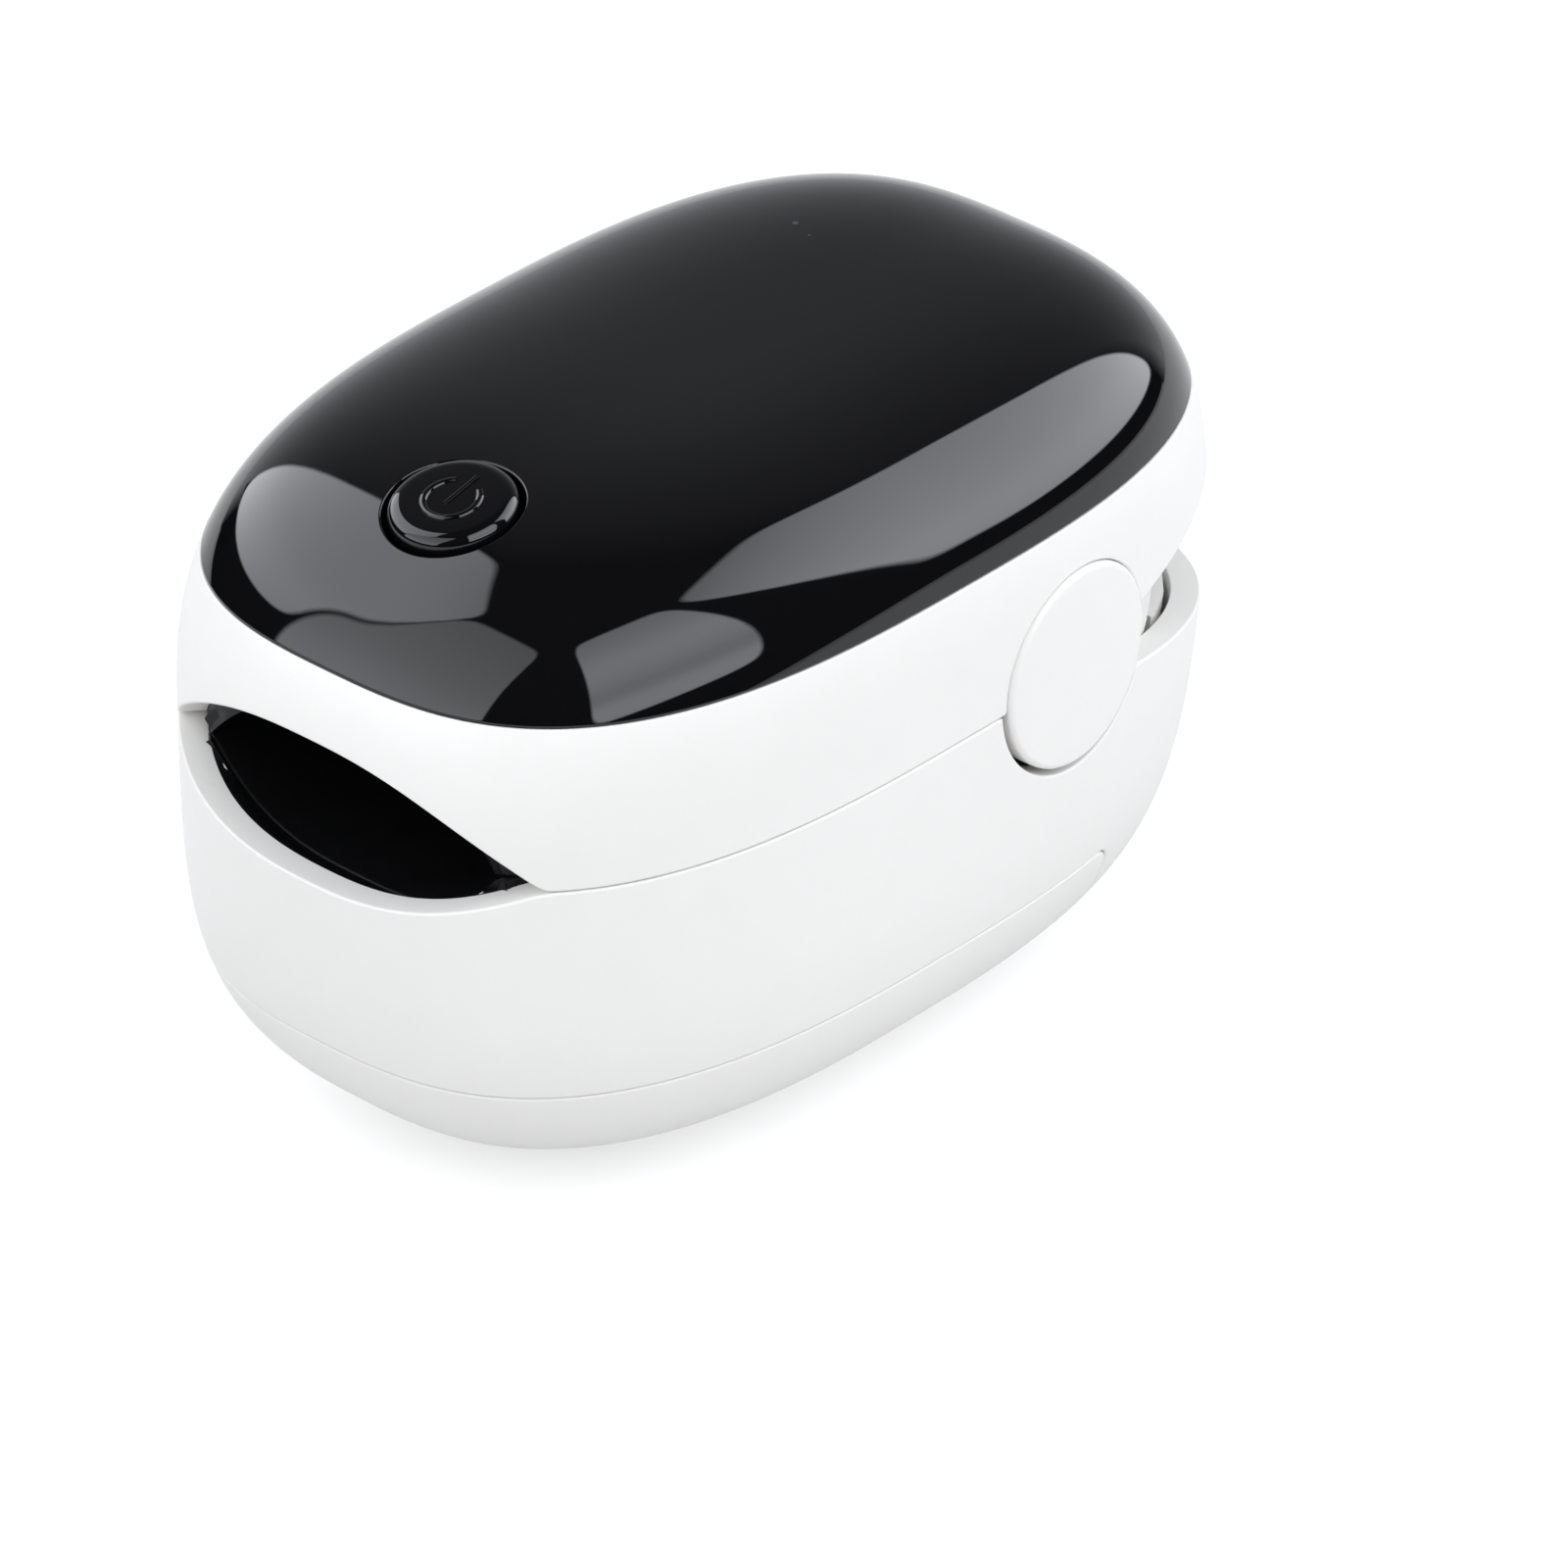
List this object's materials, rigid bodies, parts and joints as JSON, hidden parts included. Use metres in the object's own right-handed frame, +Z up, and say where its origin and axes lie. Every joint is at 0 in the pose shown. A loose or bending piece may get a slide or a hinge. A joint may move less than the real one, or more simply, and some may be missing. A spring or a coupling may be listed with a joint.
{
  "type": "fingertip pulse oximeter",
  "caption": "Pebble-shaped finger clip with a glossy black dome, a round push button, side hinge caps, a finger mouth and a sliding battery cover.",
  "frame": {"origin": "on the ground under the middle of the closed body", "axes": "+X across the width, -Y out of the finger mouth, +Z up through the dome"},
  "size_m": [0.0352, 0.0547, 0.035],
  "materials": {
    "white_shell": "fine satin texture",
    "white_frame": "satin",
    "black_lens": "high gloss",
    "black_silicone": "soft matte",
    "green_board": "solder mask",
    "dark_sensor": "gloss",
    "black_epoxy": "matte",
    "display_glass": "gloss",
    "clear_led": "gloss",
    "battery_jacket": "satin",
    "bright_steel": "bright",
    "spring_steel": "drawn",
    "amber_film": "satin",
    "cream_plastic": "satin"
  },
  "bodies": {
    "lower_half": {"lower_shell": "white_shell", "lower_frame": "white_frame", "lower_finger_pad": "black_silicone", "sensor_board": "green_board", "photodiode": "dark_sensor", "battery_cell": "battery_jacket", "battery_contact_front": "bright_steel", "battery_contact_rear": "bright_steel", "frame_screws": "bright_steel", "torsion_spring_left": "spring_steel", "torsion_spring_right": "spring_steel", "ribbon_cable": "amber_film"},
    "upper_half": {"upper_shell": "white_shell", "display_lens": "black_lens", "upper_frame": "white_frame", "upper_finger_pad": "black_silicone", "led_emitter": "clear_led", "main_board": "green_board", "display_module": "display_glass", "processor_chip": "black_epoxy", "tact_switch": "black_epoxy", "board_screws": "bright_steel", "hinge_cap_left": "white_shell", "hinge_cap_right": "white_shell", "hinge_pin_left": "bright_steel", "hinge_pin_right": "bright_steel", "ribbon_connector": "cream_plastic"},
    "power_button": {"power_button": "black_lens"},
    "battery_cover": {"battery_cover": "white_shell"}
  },
  "joints": [
    {"name": "clip_hinge", "type": "hinge", "parent": "lower_half", "child": "upper_half", "pos_m": [0, 0.0081, 0.021], "axis": [-1, 0, 0], "range_deg": [0, 22], "stiffness_Nm_per_rad": 0.156, "springref_deg": -22.06, "deforming": ["torsion_spring_left", "torsion_spring_right", "ribbon_cable"]},
    {"name": "button_press", "type": "slide", "parent": "upper_half", "child": "power_button", "axis": [0, 0.2143, -0.9768], "range_m": [0, 0.0004], "stiffness_N_per_m": 1500, "springref_m": -0.0003},
    {"name": "cover_slide", "type": "slide", "parent": "lower_half", "child": "battery_cover", "axis": [0, -1, 0], "range_m": [0, 0.042]}
  ]
}
